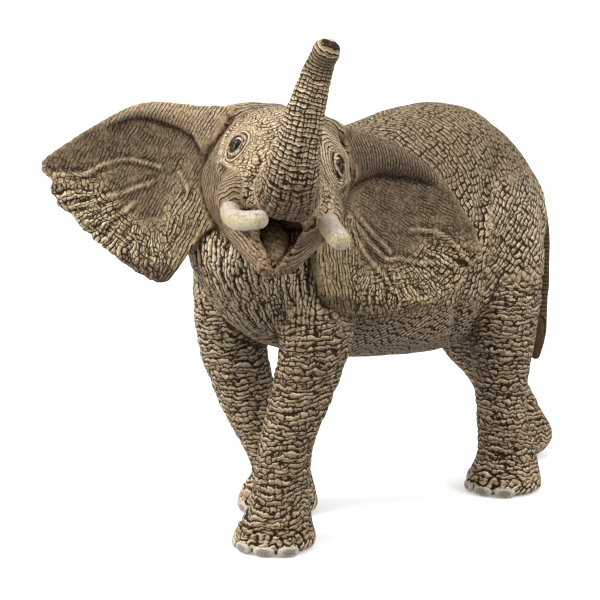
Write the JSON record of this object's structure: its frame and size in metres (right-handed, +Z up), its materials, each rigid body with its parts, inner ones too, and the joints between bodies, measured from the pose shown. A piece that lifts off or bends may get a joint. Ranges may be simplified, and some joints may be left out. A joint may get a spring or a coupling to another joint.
{
  "type": "toy wild animal figure",
  "caption": "Rigid moulded and painted toy African elephant bull, striding, head turned to its left, trunk raised, ears spread and mouth open.",
  "frame": {"origin": "on the ground under the middle of the figure's bounding box", "axes": "+Z up, the animal faces -Y and its left side is +X"},
  "size_m": [0.1108, 0.2038, 0.1713],
  "materials": {
    "skin": "matt painted, grey-brown with beige dry-brushed wrinkles",
    "ear": "matt painted, olive brown towards the free edge",
    "ivory": "satin painted cream",
    "eye": "gloss painted dark brown",
    "tongue": "satin painted dull pink-brown",
    "nail": "matt painted pale grey"
  },
  "bodies": {
    "root": {"torso": "skin", "head": "skin", "lower_jaw": "skin", "trunk": "skin", "tail": "skin", "front_left_leg": "skin", "front_right_leg": "skin", "rear_left_leg": "skin", "rear_right_leg": "skin", "left_ear": "ear", "right_ear": "ear", "left_tusk": "ivory", "right_tusk": "ivory", "left_eye": "eye", "right_eye": "eye", "tongue": "tongue", "front_left_toenail_1": "nail", "front_left_toenail_2": "nail", "front_left_toenail_3": "nail", "front_left_toenail_4": "nail", "front_right_toenail_1": "nail", "front_right_toenail_2": "nail", "front_right_toenail_3": "nail", "front_right_toenail_4": "nail", "rear_left_toenail_1": "nail", "rear_left_toenail_2": "nail", "rear_left_toenail_3": "nail", "rear_right_toenail_1": "nail", "rear_right_toenail_2": "nail", "rear_right_toenail_3": "nail"}
  },
  "joints": []
}
